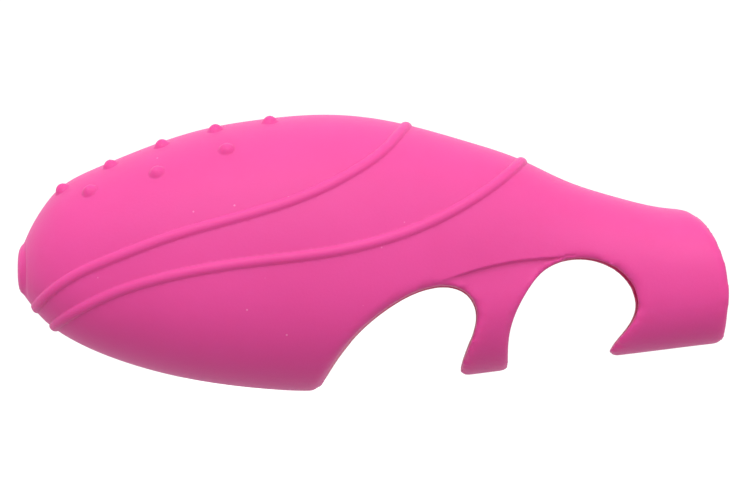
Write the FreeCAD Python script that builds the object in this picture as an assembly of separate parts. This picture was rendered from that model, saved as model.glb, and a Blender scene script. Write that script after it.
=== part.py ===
import FreeCAD, Part
import math
import os

V = FreeCAD.Vector
X_AXIS = V(1, 0, 0)
Z_AXIS = V(0, 0, 1)

# Finger-worn massager. Millimetres, +Z up, nose at -X, finger cuff at +X, symmetric about Y = 0.
# The origin is on the common axis of finger channel and bullet, in the middle of the cuff ring.

# ---------------------------------------------------------------- driving dimensions
FINGER_R = 9.5          # snug bore of the cuff
CUFF_X = -4.5           # front end of that bore
SADDLE_R = 9.8          # looser finger channel through strap and saddle
CHANNEL_X = -64.8       # inner end of the finger channel, a shoulder behind the pocket
POCKET_R = 8.3          # blind pocket that grips the bullet's shell
BULLET_R = 8.25         # outside of the bullet
NOSE_X = -99.5          # front end of the bullet
DOME = 5.2              # rounding of its nose
SPLIT_X = -63.6         # joint between shell and cap
END_X = -52.5           # rear face of the cap
SHELL_WALL = 1.0
SHELL_TIP = 1.1         # wall of the shell at its nose
SEAL_R = 0.5            # cord radius of the O-ring
SEAL_SEAT = 1.15        # length of its seat
NECK_R = 7.2            # neck of the cap, turns inside the shell
NECK_X = -69.0
NECK_IN = 6.45
CELL_R = 5.8            # 11.6 x 5.4 mm button cells
CELL_L = 5.4
CELLS = 3
CELL_X = -77.0          # front of the cell stack
CARRIER_X = -79.0       # front face of the cell carrier
BOARD_X = -58.8         # front face of the round board
BOARD_T = 1.0
CAN_R = 5.0             # motor can
CAN_WALL = 0.3
CAN_X0 = -91.5
CAN_X1 = -80.5
SHAFT_R = 0.5
WEIGHT_X0 = -97.0       # eccentric weight, front and rear
WEIGHT_X1 = -92.6
SPRING_WIRE = 0.2
RIB_HALF = 0.7          # raised ribs on the bulb
RIB_H = 0.6
NUB_R = 1.15            # raised nubs on the bulb
PAD_R = 4.7             # round pad on the nose
PAD_Z = 1.9
FAR = 30.0              # longer than any cut needs

# Side outlines of the sleeve, as (x, z)
TOP = [(-106.7, 6.0), (-104.35, 10.77), (-100.7, 14.7), (-94.4, 18.3), (-86.4, 21.6), (-76.5, 24.8),
       (-67.3, 26.4), (-56.0, 27.25), (-47.8, 26.6), (-39.9, 24.9), (-31.9, 22.6), (-23.9, 19.9),
       (-16.0, 16.0), (-8.0, 13.4), (0.0, 11.6), (6.0, 11.2), (13.0, 11.0)]
BOTTOM = [(-106.7, -2.2), (-103.0, -6.75), (-98.4, -10.0), (-90.4, -13.5), (-78.5, -16.95),
          (-66.5, -18.4), (-57.3, -18.67), (-45.0, -17.5), (-33.1, -16.05), (-16.0, -13.8),
          (0.0, -11.9), (6.0, -11.3), (13.0, -11.0)]
# Half width seen from above, as (x, y)
SIDE = [(-106.7, 4.2), (-104.35, 8.6), (-100.7, 12.1), (-94.4, 15.2), (-84.0, 18.2), (-72.0, 19.8),
        (-60.0, 20.0), (-50.0, 19.1), (-40.0, 17.3), (-30.0, 15.3), (-20.0, 13.6), (-10.0, 12.5),
        (0.0, 11.8), (6.0, 11.5), (13.0, 11.2)]
# Height of the widest line of the section
WAIST = [(-106.7, 1.9), (-98.0, 2.2), (-80.0, 2.4), (-60.0, 2.2), (-40.0, 1.5), (-20.0, 0.6),
         (0.0, 0.0), (13.0, 0.0)]
STATIONS = [-106.7, -105.6, -103.6, -100, -94.5, -86, -75, -62, -48, -36, -24, -12, 0, 13]


# ---------------------------------------------------------------- helpers
def save(name, shape):
    """Write one node."""
    shape = shape.removeSplitter()
    print(name, len(shape.Solids), "solid", shape.isValid(), round(shape.Volume, 1))
    shape.exportStep("parts/" + name + ".step")


def rod(r, x0, x1, y=0.0, z=0.0):
    """Cylinder along X."""
    return Part.makeCylinder(r, x1 - x0, V(x0, y, z), X_AXIS)


def tube(ro, ri, x0, x1):
    """Hollow cylinder along X."""
    return rod(ro, x0, x1).cut(rod(ri, x0 - 1, x1 + 1))


def block(x0, x1, y0, y1, z0, z1):
    """Box between two corners."""
    return Part.makeBox(x1 - x0, y1 - y0, z1 - z0, V(x0, y0, z0))


def dome(r, x0, x1, soft):
    """Rod along X with a rounded front end."""
    shape = rod(r, x0, x1)
    return shape.makeFillet(soft, [e for e in shape.Edges if abs(e.CenterOfMass.x - x0) < 0.01])


def coil(x0, x1, r0, r1, wire, turns):
    """Coil spring along X, radius r0 at x0 and r1 at x1."""
    points = []
    steps = int(turns * 12)
    for k in range(steps + 1):
        t = k / steps
        a = 2 * math.pi * turns * t
        r = r0 + (r1 - r0) * t
        points.append(V(x0 + wire + (x1 - x0 - 2 * wire) * t, r * math.cos(a), r * math.sin(a)))
    curve = Part.BSplineCurve()
    curve.interpolate(Points=points)
    start = curve.value(curve.FirstParameter)
    along = curve.tangent(curve.FirstParameter)[0]
    ring = Part.Wire([Part.Circle(start, along, wire).toShape()])
    return Part.Wire([curve.toShape()]).makePipeShell([ring], True, False)


def outline(points):
    """Smooth curve through (x, z) points, in the middle plane."""
    curve = Part.BSplineCurve()
    curve.interpolate(Points=[V(x, 0, z) for x, z in points])
    return curve


def at(curve, x):
    """Height of an outline at x."""
    lo = curve.FirstParameter
    hi = curve.LastParameter
    for _ in range(50):
        mid = 0.5 * (lo + hi)
        if curve.value(mid).x < x:
            lo = mid
        else:
            hi = mid
    return curve.value(lo).z


def side_cut(edges):
    """Tool that cuts a side outline through the whole width."""
    face = Part.Face(Part.Wire(Part.__sortEdges__(edges)))
    return face.extrude(V(0, 2 * FAR, 0)).translated(V(0, -FAR, 0))


def open_cut(points, corners):
    """Side cutter with a smooth edge through points, closed by straight lines round the corners."""
    edge = outline(points)
    ends = [edge.value(edge.LastParameter)] + [V(x, 0, z) for x, z in corners]
    ends.append(edge.value(edge.FirstParameter))
    return side_cut([edge.toShape()] + Part.makePolygon(ends).Edges)


# ---------------------------------------------------------------- sleeve: body of the moulding
top = outline(TOP)
bottom = outline(BOTTOM)
side = outline(SIDE)
waist = outline(WAIST)


def section(x, grow):
    """Rounded section, belly a little flatter than the back."""
    zt, zb, w, zw = at(top, x) + grow, at(bottom, x) - grow, at(side, x) + grow, at(waist, x)
    points = []
    for k in range(20):
        a = 2 * math.pi * k / 20 - 1.05
        power = 2 / 2.15 if math.sin(a) > 0 else 2 / 2.35
        c = math.copysign(abs(math.cos(a)) ** power, math.cos(a))
        s = abs(math.sin(a)) ** power
        points.append(V(x, w * c, zw + s * (zt - zw) if math.sin(a) > 0 else zw - s * (zw - zb)))
    curve = Part.BSplineCurve()
    curve.interpolate(Points=points, PeriodicFlag=True)
    return Part.Wire([curve.toShape()])


body = Part.makeLoft([section(x, 0) for x in STATIONS], True, False)
raised = Part.makeLoft([section(x, RIB_H) for x in STATIONS], True, False)


def skin(x, z):
    """Half width of the body at x and height z."""
    ray = Part.makeLine(V(x, 0, z), V(x, FAR, z))
    return max(v.Y for v in body.common(ray).Vertexes)


# Two raised ribs run round the bulb, from the back of the saddle to under the nose
RIB_A = [(-40.9, 27.6), (-42.6, 25.5), (-45.8, 21.6), (-50.5, 18.0), (-58.5, 13.8), (-66.5, 11.0),
         (-82.4, 6.4), (-90.4, 3.4), (-98.4, -0.2), (-103.4, -4.0), (-105.6, -6.2)]
RIB_B = [(-21.4, 21.6), (-25.6, 17.4), (-30.0, 14.0), (-36.0, 10.4), (-43.9, 7.0), (-54.5, 4.3),
         (-70.5, 2.2), (-82.4, 0.0), (-90.4, -2.4), (-97.6, -5.8), (-101.4, -8.2), (-103.6, -10.0)]
RIB_STEPS = 12


def rib(points):
    """Raised band along side-view points, on both flanks at once."""
    line = outline(points)
    upper = []
    lower = []
    for k in range(RIB_STEPS + 1):
        u = line.FirstParameter + (line.LastParameter - line.FirstParameter) * k / RIB_STEPS
        p = line.value(u)
        t = line.tangent(u)[0]
        upper.append(V(p.x - t.z * RIB_HALF, 0, p.z + t.x * RIB_HALF))
        lower.append(V(p.x + t.z * RIB_HALF, 0, p.z - t.x * RIB_HALF))
    edges = Part.makePolygon([upper[-1], lower[-1]]).Edges + Part.makePolygon([lower[0], upper[0]]).Edges
    for side_points in (upper, lower):
        curve = Part.BSplineCurve()
        curve.interpolate(Points=side_points)
        edges.append(curve.toShape())
    return raised.common(side_cut(edges))


extras = [rib(RIB_A), rib(RIB_B)]

# Nubs: two rows each side of the back, and a round pad on the nose
NUB_Y = 4.6             # the upper row, off the middle plane
for x in (-99.8, -91.75, -83.2, -74.3, -65.25):
    ray = Part.makeLine(V(x, NUB_Y, 0), V(x, NUB_Y, FAR))
    z = max(v.Z for v in body.common(ray).Vertexes)
    for sign in (-1, 1):
        extras.append(Part.makeSphere(NUB_R, V(x, sign * NUB_Y, z)))
for x, z in ((-95.0, 14.7), (-83.8, 17.3), (-72.3, 20.9)):
    for sign in (-1, 1):
        extras.append(Part.makeSphere(NUB_R, V(x, sign * skin(x, z), z)))
PAD_X = -107.35
pad = rod(PAD_R, PAD_X, -105.6, 0, PAD_Z)
extras.append(pad.makeFillet(0.5, [e for e in pad.Edges if e.CenterOfMass.x < PAD_X + 0.1]))
sleeve = body
for piece in extras:
    sleeve = sleeve.fuse(piece)

# Notch in front of the strap; notch between strap and cuff, undercut by the cuff's hooked lip;
# slanted, rounded rear rim of the cuff
BELOW = -24.0
ABOVE = 24.0
notch_front = open_cut([(-57.6, -19.6), (-56.0, -16.3), (-51.6, -10.1), (-45.6, -5.1), (-39.1, -1.8),
                        (-35.5, -1.35), (-32.8, -2.3), (-31.0, -4.8), (-31.1, -8.0), (-33.2, -14.6),
                        (-33.7, -17.0)], [(-33.7, BELOW), (-57.6, BELOW)])
notch_rear = open_cut([(-25.9, -16.5), (-25.6, -8.9), (-22.8, -1.8), (-18.6, 2.6), (-14.0, 3.45),
                       (-8.8, 2.4), (-5.2, -0.8), (-4.2, -5.0), (-6.7, -9.4), (-8.6, -12.2),
                       (-8.9, -13.6)], [(-8.9, BELOW), (-25.9, BELOW)])
rim = open_cut([(2.9, 12.2), (5.6, 10.4), (9.6, 4.4), (11.1, -2.0), (10.5, -8.8), (8.4, -12.4)],
               [(8.4, BELOW), (20, BELOW), (20, ABOVE), (2.9, ABOVE)])

# Finger channel, snug in the cuff, then the tight pocket for the bullet
channel = rod(SADDLE_R, CHANNEL_X, CUFF_X).fuse(rod(FINGER_R, CUFF_X, FAR))
pocket = dome(POCKET_R, NOSE_X - 0.3, CHANNEL_X + 1.0, DOME)
for tool in (notch_front, notch_rear, rim, channel, pocket):
    sleeve = sleeve.cut(tool)
save("sleeve", sleeve)

# ---------------------------------------------------------------- bullet: shell, cap and seal
shell = dome(BULLET_R, NOSE_X, SPLIT_X, DOME)
shell = shell.cut(dome(BULLET_R - SHELL_WALL, NOSE_X + SHELL_TIP, SPLIT_X + 1, DOME - SHELL_TIP))
shell = shell.cut(rod(BULLET_R - 0.3, SPLIT_X - SEAL_SEAT, SPLIT_X + 1))
save("shell", shell)

CAP_WALL_X = END_X - 1.2        # inner side of the cap's rear wall
CAP_BORE_R = 5.6
BUTTON_HOLE_R = 3.6
SEAL_FLOOR_R = 6.85
cap = rod(BULLET_R, SPLIT_X, END_X)
cap = cap.makeFillet(0.8, [e for e in cap.Edges if abs(e.CenterOfMass.x - END_X) < 0.01])
cap = cap.fuse(rod(NECK_R, NECK_X, SPLIT_X + 0.5))
cap = cap.cut(tube(BULLET_R + 1, SEAL_FLOOR_R, SPLIT_X - SEAL_SEAT, SPLIT_X))
cap = cap.cut(rod(NECK_IN, NECK_X - 1, BOARD_X + BOARD_T))
cap = cap.cut(rod(CAP_BORE_R, BOARD_X, CAP_WALL_X))
cap = cap.cut(rod(BUTTON_HOLE_R, CAP_WALL_X - 1, END_X + 1))
save("cap", cap)
save("oring", Part.makeTorus(7.4, SEAL_R, V(SPLIT_X - SEAL_SEAT / 2, 0, 0), X_AXIS))

# ---------------------------------------------------------------- push button and switch
SWITCH_X = BOARD_X + BOARD_T    # rear face of the board
SWITCH_SIZE = 3.6
PLUNGER_R = 1.0
FLANGE_X = END_X - 1.9          # front of the button's flange
FLANGE_END = END_X - 1.22
button = rod(BUTTON_HOLE_R - 0.1, FLANGE_END, END_X + 0.6)
button = button.makeFillet(0.4, [e for e in button.Edges if e.CenterOfMass.x > END_X + 0.5])
button = button.fuse(rod(4.5, FLANGE_X, FLANGE_END)).fuse(rod(1.2, FLANGE_X - 0.7, FLANGE_X))
save("button", button)
save("button_spring", coil(SWITCH_X, FLANGE_X, 3.3, 3.3, 0.9 * SPRING_WIRE, 3.5))
half = SWITCH_SIZE / 2
switch = block(SWITCH_X, SWITCH_X + 1.6, -half, half, -half, half)
save("switch_body", switch.cut(rod(PLUNGER_R + 0.06, SWITCH_X + 0.8, SWITCH_X + 3)))
save("switch_plunger", rod(PLUNGER_R, SWITCH_X + 1.25, FLANGE_X - 0.75))
board = rod(6.35, BOARD_X, SWITCH_X)
save("pcb", board.cut(rod(0.5, BOARD_X - 1, SWITCH_X + 1, 0, -4.8)))
save("chip", block(SWITCH_X, SWITCH_X + 0.9, 3.7, 5.2, -1.2, 1.2))
save("pcb_retainer", tube(NECK_IN - 0.02, CAP_BORE_R, BOARD_X - 1.0, BOARD_X))
save("rear_spring", coil(CELL_X + CELLS * CELL_L + 0.05, BOARD_X, 2.0, 4.0, SPRING_WIRE, 3))

# ---------------------------------------------------------------- button cells and their carrier
CRIMP = 1.6             # depth of the lid and its gasket in the cell
LID_R = 4.7
GASKET_R = 5.3
GASKET_X = 0.35
lids = []
gaskets = []
for k in range(CELLS):
    x = CELL_X + k * CELL_L
    cell = rod(CELL_R, x + GASKET_X, x + CELL_L)
    cell = cell.makeFillet(0.4, [e for e in cell.Edges if e.CenterOfMass.x > x + CELL_L - 0.4])
    save("cell_" + str(k + 1), cell.cut(rod(GASKET_R, x, x + CRIMP)))
    lids.append(rod(LID_R, x + 0.02, x + CRIMP))
    gaskets.append(tube(GASKET_R, LID_R, x + GASKET_X, x + CRIMP))
save("cell_lids", Part.makeCompound(lids))
save("cell_gaskets", Part.makeCompound(gaskets))

CARRIER_R = 7.05
CARRIER_IN = 5.9
STRIP_HALF = 1.5
carrier = tube(CARRIER_R, CARRIER_IN, CARRIER_X, NECK_X - 0.4)
carrier = carrier.fuse(tube(6.35, CARRIER_IN, NECK_X - 0.4, -61.2))
carrier = carrier.fuse(tube(CARRIER_R, 4.6, CARRIER_X, CELL_X - 0.9))
slot = block(CARRIER_X - 1, NECK_X + 0.1, -STRIP_HALF - 0.1, STRIP_HALF + 0.1, 6.7, 8)
save("cell_carrier", carrier.cut(slot))
save("front_contact", rod(4.4, CARRIER_X - 0.35, CARRIER_X - 0.05))
save("front_spring", coil(CARRIER_X - 0.05, CELL_X, 4.0, 2.2, SPRING_WIRE, 2.5))
save("return_strip", block(CARRIER_X - 1.3, NECK_X - 0.1, -STRIP_HALF, STRIP_HALF, 6.78, 7.03))

# ---------------------------------------------------------------- motor
BACK_X = CAN_X1 - 0.7   # front face of the end cap
HUB_R = 1.3             # bushing and the boss that holds it
GROOVE_HALF = 2.0
holder = rod(7.2, -91.0, CARRIER_X - 0.4).cut(rod(CAN_R + 0.02, CAN_X0, CAN_X1))
holder = holder.cut(rod(4.5, CAN_X1 - 0.5, CARRIER_X))
for z0, z1 in ((5.6, 9.0), (-9.0, -5.6)):
    holder = holder.cut(block(-92, CAN_X1 - 0.5, -GROOVE_HALF, GROOVE_HALF, z0, z1))
save("motor_holder", holder.cut(block(-82, CARRIER_X, -GROOVE_HALF, GROOVE_HALF, 3.5, 9)))
can = rod(CAN_R, CAN_X0, CAN_X1).cut(rod(CAN_R - CAN_WALL, CAN_X0 + 0.35, CAN_X1 + 1))
can = can.fuse(rod(1.8, CAN_X0 - 0.5, CAN_X0 + 0.3)).cut(rod(HUB_R, CAN_X0 - 1, CAN_X0 + 1))
save("motor_can", can)
save("bushing", tube(HUB_R, SHAFT_R + 0.05, CAN_X0 - 0.5, CAN_X0 + 1.6))
magnet = tube(3.0, HUB_R, CAN_X0 + 1.6, -83.6)
save("motor_magnet", magnet.fuse(tube(CAN_R - CAN_WALL, HUB_R, CAN_X0 + 0.35, CAN_X0 + 0.6)))
coil_cup = tube(4.25, 3.35, -90.4, -82.6).fuse(tube(4.25, SHAFT_R, -83.2, -82.6))
save("motor_coil", coil_cup)
save("commutator", tube(1.0, SHAFT_R, -82.6, -81.5))
save("shaft", rod(SHAFT_R, WEIGHT_X0 - 0.3, BACK_X))
weight = rod(4.2, WEIGHT_X0, WEIGHT_X1).cut(block(WEIGHT_X0 - 1, WEIGHT_X1 + 1, -5, 5, 0, 5))
weight = weight.fuse(rod(1.2, WEIGHT_X0, WEIGHT_X1))
save("weight", weight.cut(rod(SHAFT_R, WEIGHT_X0 - 1, WEIGHT_X1 + 1)))
save("motor_endcap", rod(CAN_R - CAN_WALL - 0.02, BACK_X, CAN_X1).cut(rod(0.8, BACK_X - 1, BACK_X + 0.3)))
brushes = [block(-82.3, BACK_X, -0.6, 0.6, z0, z0 + 0.16) for z0 in (1.08, -1.24)]
save("motor_brushes", Part.makeCompound(brushes))
LEAD_R = 0.3
save("lead_pos", rod(LEAD_R, CAN_X1, CARRIER_X - 0.35, 1.5, -2.4))
save("lead_neg", Part.makeCylinder(LEAD_R, 2.9, V(-80.15, 0, 3.85), Z_AXIS))
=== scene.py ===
import math
import bmesh
import bpy
import numpy as np
from mathutils import Matrix, Vector


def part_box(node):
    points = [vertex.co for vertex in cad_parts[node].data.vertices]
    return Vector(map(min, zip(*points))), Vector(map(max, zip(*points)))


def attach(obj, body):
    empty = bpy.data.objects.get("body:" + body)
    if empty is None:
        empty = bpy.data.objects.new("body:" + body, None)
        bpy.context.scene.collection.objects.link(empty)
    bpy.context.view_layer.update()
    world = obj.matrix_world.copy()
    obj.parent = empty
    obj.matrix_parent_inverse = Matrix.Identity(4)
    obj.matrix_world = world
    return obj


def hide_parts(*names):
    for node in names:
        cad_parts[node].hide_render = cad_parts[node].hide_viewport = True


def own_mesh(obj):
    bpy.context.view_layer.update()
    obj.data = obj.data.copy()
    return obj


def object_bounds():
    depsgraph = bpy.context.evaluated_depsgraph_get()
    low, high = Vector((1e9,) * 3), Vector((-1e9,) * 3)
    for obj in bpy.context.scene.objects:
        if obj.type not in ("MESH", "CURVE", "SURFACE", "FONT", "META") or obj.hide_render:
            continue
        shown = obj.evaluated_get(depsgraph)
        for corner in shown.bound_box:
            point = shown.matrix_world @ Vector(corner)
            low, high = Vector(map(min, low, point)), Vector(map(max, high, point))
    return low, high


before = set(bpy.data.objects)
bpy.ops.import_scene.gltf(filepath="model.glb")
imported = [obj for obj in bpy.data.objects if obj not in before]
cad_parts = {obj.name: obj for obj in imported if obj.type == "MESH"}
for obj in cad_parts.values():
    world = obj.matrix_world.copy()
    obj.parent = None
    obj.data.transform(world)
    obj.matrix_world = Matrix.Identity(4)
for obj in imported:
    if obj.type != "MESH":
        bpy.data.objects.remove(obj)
cad_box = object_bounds()

# ------------------------------------------------------------------ camera, table and light
# The massager lies on a wide white lightbox table in a white room, under one wide softbox from
# above, and is seen square from its side, from just above the table.
scene = bpy.context.scene
scene.view_settings.view_transform = "Standard"
EYE = Vector((-0.040, -1.5, -0.016))
AIM = Vector((-0.0478, 0.0, 0.0051))
camera = bpy.data.objects.new("camera", bpy.data.cameras.new("camera"))
scene.collection.objects.link(camera)
camera.location = EYE
camera.rotation_euler = (AIM - EYE).to_track_quat("-Z", "Y").to_euler()
camera.data.lens = 432.0
camera.data.clip_start = 0.05
camera.data.clip_end = 30.0
scene.camera = camera


def principled(name, **sockets):
    """A material, its node tree and its shader, with the shader's constant sockets set."""
    material = bpy.data.materials.new(name)
    material.use_nodes = True
    shader = material.node_tree.nodes["Principled BSDF"]
    for key, value in sockets.items():
        shader.inputs[key.replace("_", " ")].default_value = value
    return material, material.node_tree, shader


def make_object(name, shape, smooth=True):
    """Object from a bmesh."""
    mesh = bpy.data.meshes.new(name)
    shape.to_mesh(mesh)
    shape.free()
    if smooth:
        mesh.shade_smooth()
    thing = bpy.data.objects.new(name, mesh)
    scene.collection.objects.link(thing)
    return thing


TABLE_HALF = 6.0
board = bmesh.new()
bmesh.ops.create_grid(board, x_segments=8, y_segments=8, size=TABLE_HALF,
                      matrix=Matrix.Translation((0, 0, cad_box[0][2])))
table = make_object("table", board, smooth=False)
table.visible_diffuse = False
table.visible_glossy = False
lit_acrylic, _, shader = principled("lit_acrylic", Roughness=0.9, Emission_Strength=0.82)
shader.inputs["Base Color"].default_value = (0.26, 0.26, 0.26, 1)
shader.inputs["Emission Color"].default_value = (1, 1, 1, 1)
table.data.materials.append(lit_acrylic)

lamp = bpy.data.lights.new("softbox", "AREA")
lamp.shape = "SQUARE"
lamp.size = 0.9
lamp.energy = 9.6
softbox = bpy.data.objects.new("softbox", lamp)
softbox.location = (-0.10, -0.80, 0.78)
downwards = Vector((-0.04, 0, 0)) - softbox.location
softbox.rotation_euler = downwards.to_track_quat("-Z", "Y").to_euler()
scene.collection.objects.link(softbox)
room = bpy.data.worlds.new("room")
scene.world = room
room.use_nodes = True
# light of the room by height: dim under the table, white at eye level, brightest overhead
ROOM_LIGHT = ((-1.0, 0.70), (-0.16, 1.0), (-0.03, 1.05), (0.2, 1.2), (1.0, 1.4))
ROOM_MAX = 2.0
wires = room.node_tree
look = wires.nodes.new("ShaderNodeTexCoord")
split = wires.nodes.new("ShaderNodeSeparateXYZ")
rise = wires.nodes.new("ShaderNodeMapRange")
rise.inputs["From Min"].default_value = -1.0
shades = wires.nodes.new("ShaderNodeValToRGB")
stops = shades.color_ramp.elements
for up, _ in ROOM_LIGHT[1:-1]:
    stops.new((up + 1) / 2)
for stop, (up, light) in zip(stops, ROOM_LIGHT):
    stop.position = (up + 1) / 2
    stop.color = (light / ROOM_MAX, light / ROOM_MAX, light / ROOM_MAX, 1)
wires.links.new(look.outputs["Generated"], split.inputs["Vector"])
wires.links.new(split.outputs["Z"], rise.inputs["Value"])
wires.links.new(rise.outputs["Result"], shades.inputs["Fac"])
wires.links.new(shades.outputs["Color"], wires.nodes["Background"].inputs["Color"])
wires.nodes["Background"].inputs["Strength"].default_value = ROOM_MAX

# ------------------------------------------------------------------ sleeve
# One moulding of soft pink silicone: a drop-shaped bulb with ribs and nubs, a saddle over the
# finger, a strap ring and a cuff ring. It is cast in a two-part mould that closes on the middle
# plane; the notches under the saddle are part of the casting.
MM = 0.001


def smooth_line(points, count=400):
    """Dense points on a natural cubic through the given ones."""
    p = np.array(points, float)
    t = np.concatenate([[0.0], np.cumsum(np.linalg.norm(np.diff(p, axis=0), axis=1))])
    h = np.diff(t)
    n = len(p)
    a = np.eye(n)
    r = np.zeros((n, p.shape[1]))
    for i in range(1, n - 1):
        a[i, i - 1:i + 2] = (h[i - 1], 2 * (h[i - 1] + h[i]), h[i])
        r[i] = 6 * ((p[i + 1] - p[i]) / h[i] - (p[i] - p[i - 1]) / h[i - 1])
    m = np.linalg.solve(a, r)
    s = np.linspace(0, t[-1], count)
    i = np.clip(np.searchsorted(t, s, side="right") - 1, 0, n - 2)
    u = (s - t[i])[:, None]
    d = h[i][:, None]
    return (m[i] * (d - u) ** 3 / (6 * d) + m[i + 1] * u ** 3 / (6 * d)
            + (p[i] / d - m[i] * d / 6) * (d - u) + (p[i + 1] / d - m[i + 1] * d / 6) * u)


# side outlines as (x, z), in millimetres
TOP = smooth_line([(-106.7, 5.0), (-104.67, 9.4), (-102.7, 12.4), (-100.7, 14.7), (-94.4, 18.3),
                   (-86.4, 21.6), (-76.5, 24.8), (-67.3, 26.4), (-56.0, 27.25), (-47.8, 26.6),
                   (-39.9, 24.9), (-31.9, 22.6), (-23.9, 19.9), (-16.0, 16.2), (-8.0, 13.6),
                   (0.0, 11.75), (6.0, 11.35), (13.0, 11.2)])
BELLY = smooth_line([(-106.7, -2.2), (-103.0, -6.75), (-98.4, -10.0), (-90.4, -13.5),
                     (-78.5, -16.65), (-66.5, -18.25), (-57.3, -18.6), (-45.0, -17.4),
                     (-33.1, -16.05), (-16.0, -13.8), (0.0, -11.8), (6.0, -11.05), (13.0, -10.25)])
# half width as (x, y), and the height of the widest line as (x, z)
FLANK = smooth_line([(-106.7, 4.2), (-104.35, 8.6), (-100.7, 12.1), (-94.4, 15.2), (-84.0, 18.2),
                     (-72.0, 19.8), (-60.0, 20.0), (-50.0, 19.1), (-40.0, 17.3), (-30.0, 15.3),
                     (-20.0, 13.6), (-10.0, 12.5), (0.0, 11.8), (6.0, 11.5), (13.0, 11.2)])
WAIST = smooth_line([(-106.7, 1.9), (-98.0, 2.2), (-80.0, 2.4), (-60.0, 2.2), (-40.0, 1.5),
                     (-20.0, 0.6), (0.0, 0.0), (13.0, 0.0)])
NOSE, TAIL = -106.7, 13.0
BACK_POWER, BELLY_POWER = 2.15, 2.35


def height(line, x):
    """Value of an outline at x."""
    return np.interp(x, line[:, 0], line[:, 1])


def section_point(x, angle, fill=1.0):
    """Point of the rounded section at x; the belly is a little flatter than the back."""
    up = np.sin(angle) > 0
    power = np.where(up, 2 / BACK_POWER, 2 / BELLY_POWER)
    c = np.sign(np.cos(angle)) * np.abs(np.cos(angle)) ** power
    s = np.abs(np.sin(angle)) ** power
    middle = height(WAIST, x)
    rise = np.where(up, height(TOP, x) - middle, height(BELLY, x) - middle)
    return np.stack([x, fill * height(FLANK, x) * c, middle + fill * s * rise], axis=-1)


def outside(points):
    """How far out in its section a point is: 1 on the skin."""
    x = points[:, 0]
    middle = height(WAIST, x)
    up = points[:, 2] > middle
    rise = np.where(up, height(TOP, x) - middle, middle - height(BELLY, x))
    power = np.where(up, BACK_POWER, BELLY_POWER)
    return ((np.abs(points[:, 1]) / height(FLANK, x)) ** power
            + (np.abs(points[:, 2] - middle) / rise) ** power) ** (1 / power)


def read_points(mesh):
    """Vertex places as an array, in millimetres."""
    flat = np.empty(len(mesh.vertices) * 3)
    mesh.vertices.foreach_get("co", flat)
    return flat.reshape(-1, 3) / MM


def write_points(mesh, points):
    """Puts vertices back, from millimetres."""
    mesh.vertices.foreach_set("co", (points * MM).ravel())
    mesh.update()


# the plain drop: a ball pulled out along X and pressed to the outlines
ball = bmesh.new()
bmesh.ops.create_uvsphere(ball, u_segments=144, v_segments=220, radius=1.0)
bmesh.ops.rotate(ball, verts=ball.verts, cent=(0, 0, 0),
                 matrix=Matrix.Rotation(math.radians(90), 3, "Y"))
drop = make_object("drop", ball)
points = read_points(drop.data) * MM
turn = np.arccos(np.clip(-points[:, 0], -1, 1)) / math.pi
FACE = 0.03             # share of the ball that becomes each flat end
along = np.clip((turn - FACE) / (1 - 2 * FACE), 0, 1)
x = NOSE + (TAIL - NOSE) * (0.5 - 0.5 * np.cos(math.pi * along)) ** 0.9
fill = np.clip(np.minimum(turn, 1 - turn) / FACE, 0, 1)
write_points(drop.data, section_point(x, np.arctan2(points[:, 2], points[:, 1]), fill))

WIDE = 0.04             # half width of the side cutters, in metres
# share of a cutter's flare that widens it at the flanks, and that narrows it in the middle
FLARE_OUT, FLARE_IN = 0.76, 0.24


def side_tool(name, outline, flare=0.0, centre=(0, 0)):
    """Cutter with a side outline, right through the width. Flare opens it towards both flanks."""
    shape = bmesh.new()
    about = Matrix.Translation((-centre[0] * MM, 0, -centre[1] * MM))
    inner = [shape.verts.new((px * MM, 0, pz * MM)) for px, pz in outline]
    face = shape.faces.new(inner)
    grown = bmesh.ops.extrude_face_region(shape, geom=[face])["geom"]
    outer = [v for v in grown if isinstance(v, bmesh.types.BMVert)]
    bmesh.ops.translate(shape, verts=outer, vec=(0, WIDE, 0))
    wider, narrower = 1 + FLARE_OUT * flare, 1 - FLARE_IN * flare
    bmesh.ops.scale(shape, verts=outer, vec=(wider, 1, wider), space=about)
    bmesh.ops.scale(shape, verts=inner, vec=(narrower, 1, narrower), space=about)
    middle = [f for f in shape.faces if all(abs(v.co.y) < 1e-7 for v in f.verts)]
    bmesh.ops.delete(shape, geom=middle, context="FACES_ONLY")
    bmesh.ops.mirror(shape, geom=list(shape.verts) + list(shape.edges) + list(shape.faces), axis="Y",
                     merge_dist=1e-6)
    bmesh.ops.remove_doubles(shape, verts=shape.verts, dist=1e-7)
    bmesh.ops.recalc_face_normals(shape, faces=shape.faces)
    return make_object(name, shape)


def round_tool(name, r, x0, x1, soft=0.0):
    """Round cutter along X, its front end rounded."""
    shape = bmesh.new()
    lie = Matrix.Translation(((x0 + x1) / 2 * MM, 0, 0)) @ Matrix.Rotation(math.radians(90), 4, "Y")
    bmesh.ops.create_cone(shape, cap_ends=True, segments=96, radius1=r * MM, radius2=r * MM,
                          depth=(x1 - x0) * MM, matrix=lie)
    if soft:
        front = [e for e in shape.edges if all(abs(v.co.x - x0 * MM) < 1e-6 for v in e.verts)]
        bmesh.ops.bevel(shape, geom=front, offset=soft * MM, segments=8, profile=0.5, affect="EDGES",
                        material=-1)
    return make_object(name, shape)


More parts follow.
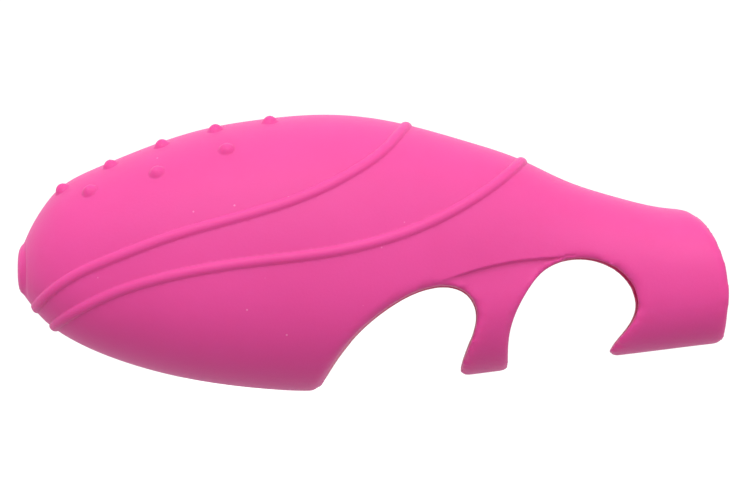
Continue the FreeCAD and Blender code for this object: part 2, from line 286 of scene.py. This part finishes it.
BELOW, BEHIND = -24, 20  # clear of the drop, for the far corners of the cutters
NOTCH_FRONT = smooth_line([(-57.9, -19.6), (-56.1, -16.4), (-51.65, -10.2), (-45.7, -5.05), (-39.1, -1.8),
                           (-35.6, -1.45), (-32.9, -2.35), (-31.1, -4.85), (-31.1, -8.1),
                           (-33.25, -14.6), (-33.65, -17.0)], 90)
NOTCH_REAR = smooth_line([(-25.5, -16.5), (-25.4, -8.9), (-22.5, -2.1), (-20.4, 0.65), (-18.0, 2.35),
                          (-14.0, 3.3), (-9.0, 2.3), (-5.3, -0.8), (-4.2, -5.0), (-6.7, -9.4),
                          (-8.75, -12.2), (-9.15, -13.6)], 90)
CUFF_RIM = smooth_line([(3.4, 12.2), (5.8, 10.4), (9.55, 4.4), (10.75, -0.5), (10.8, -4.5),
                        (10.45, -8.2), (9.8, -12.4)], 60)
CHANNEL_X, CUFF_X = -64.8, -4.5
SADDLE_R, FINGER_R = 9.8, 9.5
POCKET_X, POCKET_R, POCKET_DOME = -99.8, 8.3, 5.2
CUFF_LAP, POCKET_LAP = 0.5, 1.0     # how far each bore runs into the channel
NOTCH_FLARE, NOTCH_CENTRE = 0.10, (-43, -13)
tools = [side_tool("notch_front", list(NOTCH_FRONT) + [(-33.65, BELOW), (-57.9, BELOW)],
                   NOTCH_FLARE, NOTCH_CENTRE),
         side_tool("notch_rear", list(NOTCH_REAR) + [(-9.15, BELOW), (-25.5, BELOW)]),
         side_tool("cuff_rim", list(CUFF_RIM) + [(9.8, BELOW), (BEHIND, BELOW), (BEHIND, -BELOW),
                                                 (3.4, -BELOW)]),
         round_tool("finger_channel", SADDLE_R, CHANNEL_X, CUFF_X),
         round_tool("cuff_bore", FINGER_R, CUFF_X - CUFF_LAP, BEHIND),
         round_tool("bullet_pocket", POCKET_R, POCKET_X, CHANNEL_X + POCKET_LAP, POCKET_DOME)]
for tool in tools:
    cut = drop.modifiers.new(tool.name, "BOOLEAN")
    cut.object = tool
    cut.operation = "DIFFERENCE"
    cut.solver = "EXACT"
skin = drop.modifiers.new("skin", "REMESH")
skin.mode = "VOXEL"
skin.voxel_size = 0.72 * MM
soften = drop.modifiers.new("soften", "SMOOTH")
soften.factor = 0.5
soften.iterations = 3
graph = bpy.context.evaluated_depsgraph_get()
moulding = bmesh.new()
moulding.from_mesh(drop.evaluated_get(graph).to_mesh())
for thing in tools + [drop]:
    bpy.data.objects.remove(thing)

# what stands proud of the skin or is let into it, as side-view lines
RIBS = [smooth_line([(-40.9, 27.6), (-42.6, 25.5), (-45.8, 21.6), (-50.5, 18.0), (-58.5, 13.8),
                     (-66.5, 11.0), (-82.4, 6.4), (-90.4, 3.4), (-98.4, -0.2), (-103.4, -4.0),
                     (-105.6, -6.2)]),
        smooth_line([(-21.4, 21.6), (-25.6, 17.4), (-30.0, 14.0), (-36.0, 10.4), (-43.9, 7.0),
                     (-54.5, 4.3), (-70.5, 2.2), (-82.4, 0.0), (-90.4, -2.4), (-97.6, -5.8),
                     (-101.4, -8.2), (-103.6, -10.0)])]
RIB_HALF, RIB_H = 0.85, 0.58
NUB_R, NUB_H = 1.4, 1.0
PAD_R, PAD_H, PAD_Z = 4.3, 0.65, 1.6
FOOT_R, FOOT_HALF, FOOT_H = 5.1, 0.75, 0.75
STEP_LINE = smooth_line([(-37.6, -0.7), (-35.7, -0.1), (-31.0, 1.4), (-26.0, 2.6), (-21.3, 3.25),
                         (-18.4, 3.45), (-15.0, 3.6)], 120)
STEP_DEPTH, STEP_FADE = 0.7, 9.0
STEP_FRONT, STEP_REAR = -37.2, -13.0    # the step has died out beyond these
SEAM_HALF, SEAM_H, SEAM_START = 0.35, 0.10, -104
EDGE_REACH, EDGE_DROP = 1.5, 0.34
nubs = []
for nub_x, nub_angle in ((-99.8, 71), (-91.75, 73), (-83.2, 75), (-74.3, 76), (-65.25, 76.5),
                         (-95.0, 49), (-83.8, 47), (-72.3, 53)):
    place = section_point(np.array([nub_x]), np.array([math.radians(nub_angle)]))[0]
    nubs += [place, place * (1, -1, 1)]


def near_line(points, line):
    """Side-view distance from points to a dense line."""
    best = np.full(len(points), 1e9)
    for a, b in zip(line[:-1:2], line[2::2]):
        ab = b - a
        ap = points[:, (0, 2)] - a
        u = np.clip((ap @ ab) / (ab @ ab), 0, 1)
        best = np.minimum(best, np.linalg.norm(ap - u[:, None] * ab, axis=1))
    return best


def near_nubs(points):
    """Distance to the nearest nub."""
    return np.min([np.linalg.norm(points - nub, axis=1) for nub in nubs], axis=0)


def ease(u):
    """0 below 0, 1 above 1, smooth between."""
    u = np.clip(u, 0, 1)
    return u * u * (3 - 2 * u)


# raised and sunk details sit on a finer net than the plain skin
ON_SKIN = 0.93
NOSE_END = 2.2          # length of the blunt nose, where the round pad sits
for reach, nub_reach, seam_reach in ((1.2, 2.1, 0.6), (0.95, 1.8, 0.0)):
    moulding.verts.ensure_lookup_table()
    places = np.array([v.co for v in moulding.verts]) / MM
    close = np.minimum(near_line(places, RIBS[0]), near_line(places, RIBS[1])) < reach
    close |= near_line(places, STEP_LINE) < 0.7 * reach
    close |= near_nubs(places) < nub_reach
    close |= np.abs(places[:, 1]) < seam_reach
    close &= outside(places) > ON_SKIN
    close |= (places[:, 0] < NOSE + NOSE_END) & (seam_reach > 0)
    edges = [e for e in moulding.edges if close[e.verts[0].index] or close[e.verts[1].index]]
    bmesh.ops.subdivide_edges(moulding, edges=edges, cuts=1, use_grid_fill=True, smooth=0.0)
    moulding.verts.index_update()
sleeve = make_object("sleeve_skin", moulding)
points = read_points(sleeve.data)
normals = np.empty(len(points) * 3)
sleeve.data.vertex_normals.foreach_get("vector", normals)
normals = normals.reshape(-1, 3)
x, y, z = points.T
# share of each point that belongs to the outer skin, and not to a cut wall
SKIN_FROM, SKIN_BLEND = 0.88, 0.08
FACING_FROM, FACING_BLEND = 0.35, 0.45
out_y = y / height(FLANK, x) ** 2
out_z = (z - height(WAIST, x)) / (0.5 * (height(TOP, x) - height(BELLY, x))) ** 2
facing = (normals[:, 1] * out_y + normals[:, 2] * out_z) / (np.hypot(out_y, out_z) + 1e-9)
on_skin = (ease((outside(points) - SKIN_FROM) / SKIN_BLEND)
           * ease((facing - FACING_FROM) / FACING_BLEND))
raise_by = np.zeros(len(points))
for line in RIBS:
    d = near_line(points, line)
    raise_by = np.maximum(raise_by, RIB_H * np.clip(1 - (d / RIB_HALF) ** 2, 0, 1) ** 0.6)
for nub in nubs:
    d = np.linalg.norm(points - nub, axis=1)
    raise_by = np.maximum(raise_by, NUB_H * np.clip(1 - (d / NUB_R) ** 2, 0, 1))
seam = SEAM_H * np.clip(1 - (y / SEAM_HALF) ** 2, 0, 1) * (x > SEAM_START)
raise_by = np.maximum(raise_by, seam)
# the strap ring is let in under the saddle's lower edge, and the step dies out at the notches
edge_gap = np.minimum(near_line(points, NOTCH_FRONT), near_line(points, NOTCH_REAR))
under = height(STEP_LINE, x) - z
step = (ease(edge_gap / 1.1) * ease(under / 0.3) * (1 - ease(under / STEP_FADE))
        * ease((x - STEP_FRONT) / 5) * ease((STEP_REAR - x) / 4.0))
raise_by -= STEP_DEPTH * step
# soft edges where notches and cuff end the skin
edge_gap = np.minimum(edge_gap, near_line(points, CUFF_RIM))
raise_by -= EDGE_DROP * np.clip(1 - edge_gap / EDGE_REACH, 0, 1) ** 2
moved = points + normals * (raise_by * on_skin)[:, None]
# the round pad on the nose
PAD_REACH, PAD_BLEND = 4.0, 2.0
r = np.hypot(y, z - PAD_Z)
at_nose = ease((NOSE + PAD_REACH - x) / PAD_BLEND)
moved[:, 0] -= at_nose * PAD_H * np.clip(1 - (r / PAD_R) ** 3, 0, 1) ** 0.8
moved[:, 0] += at_nose * FOOT_H * np.exp(-((r - FOOT_R) / FOOT_HALF) ** 2) * (y / (r + 0.1)) ** 2
write_points(sleeve.data, moved)
# how deep each point lies under the skin, for the painted shade on the inner walls; the nose counts as
# skin
WALL_SHADE_FROM, WALL_SHADE_BLEND, NOSE_SKIN = 0.95, 0.13, 3.0
wall_shade = (np.clip((WALL_SHADE_FROM - outside(points)) / WALL_SHADE_BLEND, 0, 1)
        * ease((x - NOSE - NOSE_SKIN) / NOSE_SKIN))
# the depth attribute carries that painted shade to the silicone's colour
depth = sleeve.data.attributes.new("depth", "FLOAT", "POINT")
depth.data.foreach_set("value", wall_shade)
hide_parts("sleeve")
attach(sleeve, "sleeve")

silicone, tree, shader = principled("pink_silicone", Roughness=0.56, Subsurface_Weight=0.30,
                                    Subsurface_Scale=0.004, Sheen_Weight=0.03, Sheen_Roughness=0.5)
shader.inputs["Subsurface Radius"].default_value = (1.0, 0.25, 0.45)
shader.inputs["Specular IOR Level"].default_value = 0.25
nodes, links = tree.nodes, tree.links
coords = nodes.new("ShaderNodeTexCoord")


def noise_on(tree, coords, scale, detail=2.0):
    """Noise read from object coordinates."""
    noise = tree.nodes.new("ShaderNodeTexNoise")
    noise.inputs["Scale"].default_value = scale
    noise.inputs["Detail"].default_value = detail
    tree.links.new(coords, noise.inputs["Vector"])
    return noise.outputs["Fac"]


def ramp_on(tree, fac, low, high, start=0.3, end=0.7):
    """Colour between two tones."""
    ramp = tree.nodes.new("ShaderNodeValToRGB")
    ramp.color_ramp.elements[0].position = start
    ramp.color_ramp.elements[0].color = (*low, 1)
    ramp.color_ramp.elements[1].position = end
    ramp.color_ramp.elements[1].color = (*high, 1)
    tree.links.new(fac, ramp.inputs["Fac"])
    return ramp.outputs["Color"]


def mix_on(tree, fac, first, second):
    """Mix of a colour from the tree with a plain one."""
    mix = tree.nodes.new("ShaderNodeMix")
    mix.data_type = "RGBA"
    tree.links.new(fac, mix.inputs["Factor"])
    tree.links.new(first, mix.inputs["A"])
    mix.inputs["B"].default_value = (*second, 1)
    return mix.outputs["Result"]


def relief_on(tree, shader, fac, distance, strength=0.5):
    """Bump from a height."""
    bump = tree.nodes.new("ShaderNodeBump")
    bump.inputs["Strength"].default_value = strength
    bump.inputs["Distance"].default_value = distance
    tree.links.new(fac, bump.inputs["Height"])
    tree.links.new(bump.outputs["Normal"], shader.inputs["Normal"])


place = coords.outputs["Object"]
pink = ramp_on(tree, noise_on(tree, place, 45.0, 3.0), (0.540, 0.041, 0.217), (0.570, 0.046, 0.235))
# a few specks of dust cling to it
dust = nodes.new("ShaderNodeTexVoronoi")
dust.inputs["Scale"].default_value = 190.0
links.new(place, dust.inputs["Vector"])
speck = ramp_on(tree, dust.outputs["Distance"], (0.3, 0.3, 0.3), (0, 0, 0), 0.02, 0.04)
pink = mix_on(tree, speck, pink, (0.80, 0.45, 0.60))
# painted shade: the inner walls are mixed towards a deep red that stands in for the shade and red
# inter-reflected light inside the channel and notches
wall_shade_node = nodes.new("ShaderNodeAttribute")
wall_shade_node.attribute_name = "depth"
links.new(mix_on(tree, wall_shade_node.outputs["Fac"], pink, (0.52, 0.016, 0.130)), shader.inputs["Base Color"])
relief_on(tree, shader, noise_on(tree, place, 2400.0), 0.00006, 0.25)
sleeve.data.materials.append(silicone)


# ------------------------------------------------------------------ case of the bullet
# Shell and cap are injection moulded in silver ABS with a fine pearl flake and a satin face. The
# cap's neck turns inside the shell; the round push button sits in the cap's rear wall.
def dress(material, *names):
    """Gives CAD nodes a finish."""
    for name in names:
        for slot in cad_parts[name].material_slots:
            slot.material = material


def repaint(tree, shader, tone):
    """Puts a colour on a finish."""
    tree.links.new(tone, shader.inputs["Base Color"])


def plain_finish(name, low, high, grain, gloss, relief=None, **sockets):
    """Material with two close tones and uneven gloss, grain marks to the metre.

    Without a relief it is smooth, for finishes that get their own lines."""
    material, tree, shader = principled(name, **sockets)
    place = tree.nodes.new("ShaderNodeTexCoord").outputs["Object"]
    tone = ramp_on(tree, noise_on(tree, place, grain, 4.0), low, high)
    repaint(tree, shader, tone)
    wear = tree.nodes.new("ShaderNodeMapRange")
    wear.inputs["To Min"].default_value, wear.inputs["To Max"].default_value = gloss
    tree.links.new(noise_on(tree, place, 0.3 * grain, 3.0), wear.inputs["Value"])
    tree.links.new(wear.outputs["Result"], shader.inputs["Roughness"])
    if relief:
        relief_on(tree, shader, noise_on(tree, place, 2.0 * grain), relief, 0.4)
    return material, tree, shader, place, tone


def stripes_on(tree, place, scale, kind="RINGS", direction="X", wobble=0.5):
    """Fine parallel lines: rings round the bullet's axis, or bands along a direction."""
    wave = tree.nodes.new("ShaderNodeTexWave")
    wave.wave_type = kind
    if kind == "RINGS":
        wave.rings_direction = direction
    else:
        wave.bands_direction = direction
    wave.inputs["Scale"].default_value = scale
    wave.inputs["Distortion"].default_value = wobble
    wave.inputs["Detail"].default_value = 2.0
    tree.links.new(place, wave.inputs["Vector"])
    return wave.outputs["Fac"]


pearl, tree, shader, place, tone = plain_finish("pearl_abs", (0.33, 0.33, 0.35), (0.36, 0.36, 0.38),
                                                900.0, (0.29, 0.34), 0.00001, Coat_Weight=0.35,
                                                Coat_Roughness=0.15, Metallic=0.5)
flake = tree.nodes.new("ShaderNodeTexVoronoi")
flake.inputs["Scale"].default_value = 5200.0
tree.links.new(place, flake.inputs["Vector"])
glint = ramp_on(tree, flake.outputs["Distance"], (0.4, 0.4, 0.4), (0, 0, 0), 0.10, 0.25)
repaint(tree, shader, mix_on(tree, glint, tone, (0.62, 0.62, 0.66)))
dress(pearl, "shell", "cap")
satin, tree, shader, place, _ = plain_finish("button_plastic", (0.46, 0.46, 0.48), (0.54, 0.54, 0.56),
                                             500.0, (0.30, 0.42))
relief_on(tree, shader, stripes_on(tree, place, 700.0), 0.00003, 0.6)
dress(satin, "button")

# ------------------------------------------------------------------ seal
# A moulded nitrile O-ring of 1 mm cord closes the joint between shell and cap against water.
nitrile = plain_finish("nitrile", (0.012, 0.012, 0.013), (0.030, 0.030, 0.032), 1500.0,
                       (0.50, 0.68), 0.00002)[0]
dress(nitrile, "oring")

# ------------------------------------------------------------------ springs
# The button's return spring and the two conical contact springs are cold coiled from hard drawn
# wire of 0.4 mm, with the dull straw tint of the stress relief.
# The return spring shortens under the button; here it is wound at one length between the ends of the CAD
# spring and rides with the cap.
wire = plain_finish("spring_steel", (0.46, 0.45, 0.42), (0.60, 0.58, 0.53), 2500.0, (0.22, 0.38),
                    0.000008, Metallic=1.0)[0]
dress(wire, "rear_spring", "front_spring")
SPRING_TURNS, SPRING_STEPS = 3.5, 24
spring_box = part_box("button_spring")
spring_front, spring_rear = spring_box[0][0], spring_box[1][0]
wire_r = 0.18 * MM
spring_r = spring_box[1][1] - wire_r
steps = int(SPRING_TURNS * SPRING_STEPS)
winding_shape = bmesh.new()
start = Matrix.Translation((spring_front + wire_r, spring_r, 0))
bmesh.ops.create_circle(winding_shape, cap_ends=False, segments=12, radius=wire_r, matrix=start)
bmesh.ops.spin(winding_shape, geom=list(winding_shape.verts) + list(winding_shape.edges), cent=(0, 0, 0),
               axis=(1, 0, 0), dvec=((spring_rear - spring_front - 2 * wire_r) / steps, 0, 0),
               angle=2 * math.pi * SPRING_TURNS, steps=steps, use_merge=False)
bmesh.ops.holes_fill(winding_shape, edges=winding_shape.edges)
bmesh.ops.recalc_face_normals(winding_shape, faces=winding_shape.faces)
return_spring = make_object("return_spring", winding_shape)
return_spring.data.materials.append(wire)
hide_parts("button_spring")
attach(return_spring, "cap")
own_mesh(return_spring)

# ------------------------------------------------------------------ switch board
# Round glass-epoxy board under green mask, its glass weave just showing, with tracks to the tact
# switch and the driver chip. Switch, plunger and chip are black moulded plastic.
mask, tree, shader, place, tone = plain_finish("green_mask", (0.010, 0.085, 0.030),
                                               (0.016, 0.120, 0.044), 900.0, (0.24, 0.34),
                                               Coat_Weight=0.4, Coat_Roughness=0.1)
tracks = ramp_on(tree, stripes_on(tree, place, 160.0, "BANDS", "Y", 3.0), (0, 0, 0),
                 (0.8, 0.8, 0.8), 0.78, 0.84)
repaint(tree, shader, mix_on(tree, tracks, tone, (0.030, 0.210, 0.060)))
relief_on(tree, shader, stripes_on(tree, place, 620.0, "BANDS", "Z", 0.2), 0.00001)
dress(mask, "pcb")
black = plain_finish("black_plastic", (0.012, 0.012, 0.013), (0.022, 0.022, 0.024), 3000.0,
                     (0.42, 0.58), 0.00001)[0]
dress(black, "switch_body", "switch_plunger", "chip")

# ------------------------------------------------------------------ brass parts
# Board retainer, contact disc, return strip, shaft bushing and motor brushes are stamped or
# turned from brass and slightly tarnished.
brass, tree, shader, place, _ = plain_finish("brass", (0.52, 0.33, 0.11), (0.70, 0.49, 0.19), 700.0,
                                             (0.24, 0.40), Metallic=1.0)
relief_on(tree, shader, stripes_on(tree, place, 1400.0, wobble=1.5), 0.000006)
dress(brass, "pcb_retainer", "front_contact", "return_strip", "bushing", "motor_brushes")

# ------------------------------------------------------------------ button cells and their carrier
# Three cells in nickel-plated steel cans, brushed in rings, each lid held by a nylon gasket that
# is crimped in. A natural nylon tube carries the stack; the motor's end cap is of the same nylon.
nickel, tree, shader, place, _ = plain_finish("nickel_plate", (0.56, 0.55, 0.53), (0.68, 0.67, 0.64),
                                              400.0, (0.20, 0.34), Metallic=1.0)
relief_on(tree, shader, stripes_on(tree, place, 2200.0, wobble=0.8), 0.000004)
dress(nickel, "cell_1", "cell_2", "cell_3", "cell_lids")
nylon = plain_finish("natural_nylon", (0.70, 0.66, 0.56), (0.78, 0.75, 0.66), 350.0, (0.38, 0.52),
                     0.00001, Subsurface_Weight=0.3, Subsurface_Scale=0.001)[0]
dress(nylon, "cell_gaskets", "cell_carrier", "motor_endcap")

# ------------------------------------------------------------------ motor
# A small direct-current motor in a dark glass-filled holder: drawn steel can, sintered ferrite
# magnet, skewed coil of enamelled wire, copper commutator, and a tungsten half weight.
fibre, tree, shader, place, _ = plain_finish("glass_filled", (0.030, 0.030, 0.034),
                                             (0.062, 0.062, 0.068), 1800.0, (0.45, 0.62))
relief_on(tree, shader, stripes_on(tree, place, 500.0, "BANDS", "X", 8.0), 0.00001)
dress(fibre, "motor_holder")
drawn, tree, shader, place, _ = plain_finish("drawn_steel", (0.42, 0.42, 0.43), (0.58, 0.58, 0.59),
                                             500.0, (0.24, 0.40), Metallic=1.0)
relief_on(tree, shader, stripes_on(tree, place, 900.0, "BANDS", "Y", 2.0), 0.000005)
dress(drawn, "motor_can", "shaft")
ferrite = plain_finish("ferrite", (0.050, 0.050, 0.054), (0.110, 0.110, 0.115), 2600.0,
                       (0.50, 0.66), 0.00002, Metallic=0.4)[0]
dress(ferrite, "motor_magnet")
winding, tree, shader, place, tone = plain_finish("enamelled_wire", (0.42, 0.14, 0.045),
                                                  (0.60, 0.24, 0.080), 900.0, (0.16, 0.28),
                                                  Metallic=0.8, Coat_Weight=0.5)
turns = stripes_on(tree, place, 2400.0, "BANDS", "DIAGONAL", 0.1)
relief_on(tree, shader, turns, 0.00005, 0.8)
# painted shade: the grooves between the turns are darkened towards a deep brown
groove_shade = ramp_on(tree, turns, (1, 1, 1), (0, 0, 0), 0.05, 0.35)
repaint(tree, shader, mix_on(tree, groove_shade, tone, (0.10, 0.025, 0.010)))
dress(winding, "motor_coil")
copper, tree, shader, place, _ = plain_finish("bare_copper", (0.58, 0.23, 0.11), (0.76, 0.38, 0.22),
                                              1200.0, (0.20, 0.36), Metallic=1.0)
relief_on(tree, shader, stripes_on(tree, place, 1600.0, "BANDS", "X"), 0.000005, 0.6)
dress(copper, "commutator")
sintered = plain_finish("sintered_tungsten", (0.20, 0.195, 0.185), (0.34, 0.33, 0.31), 3200.0,
                        (0.38, 0.56), 0.00003, Metallic=0.9)[0]
dress(sintered, "weight")

# ------------------------------------------------------------------ motor leads
# Two short leads in soft PVC, red to the front contact and black to the return strip.
RED_TONES = ((0.42, 0.012, 0.010), (0.52, 0.020, 0.016))
BLACK_TONES = ((0.010, 0.010, 0.010), (0.020, 0.020, 0.021))
for node, finish_name, tones in (("lead_pos", "red_pvc", RED_TONES),
                                 ("lead_neg", "black_pvc", BLACK_TONES)):
    dress(plain_finish(finish_name, *tones, 1600.0, (0.32, 0.46), 0.00001)[0], node)
